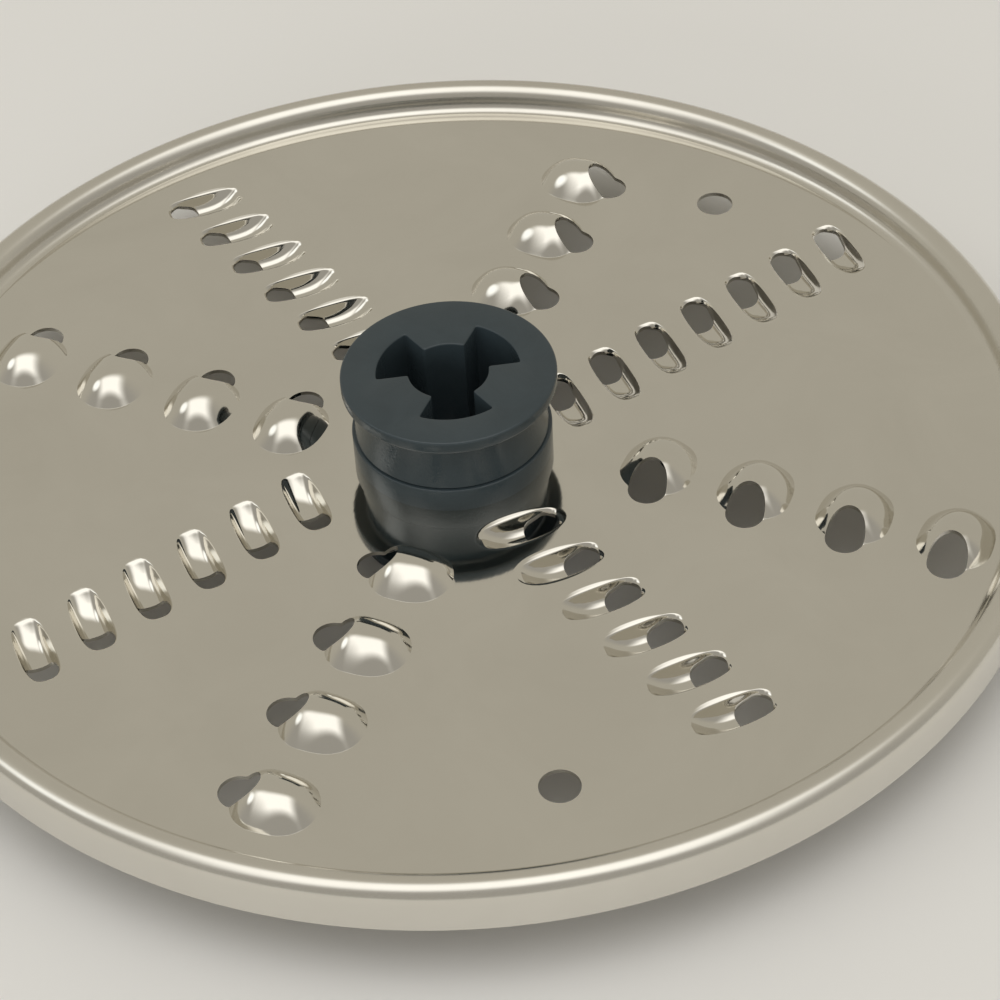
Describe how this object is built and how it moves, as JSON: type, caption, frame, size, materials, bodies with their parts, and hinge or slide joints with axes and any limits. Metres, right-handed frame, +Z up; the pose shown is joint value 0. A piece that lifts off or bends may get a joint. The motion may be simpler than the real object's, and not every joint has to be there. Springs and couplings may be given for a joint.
{
  "type": "food processor disc",
  "caption": "Reversible grating disc for a food processor: bright stamped steel plate with raised coarse and sunken fine teeth, rolled rim and a dark plastic hub.",
  "frame": {"origin": "on the disc's axis, in the plane of the hub's lower face, which it stands on", "axes": "+Z up along the drive axis, through the side with the raised coarse teeth; +X along a row of coarse teeth"},
  "size_m": [0.165, 0.165, 0.027],
  "materials": {
    "stainless_steel": "polished",
    "hub_plastic": "satin"
  },
  "bodies": {
    "root": {"disc": "stainless_steel", "hub": "hub_plastic"}
  },
  "joints": []
}
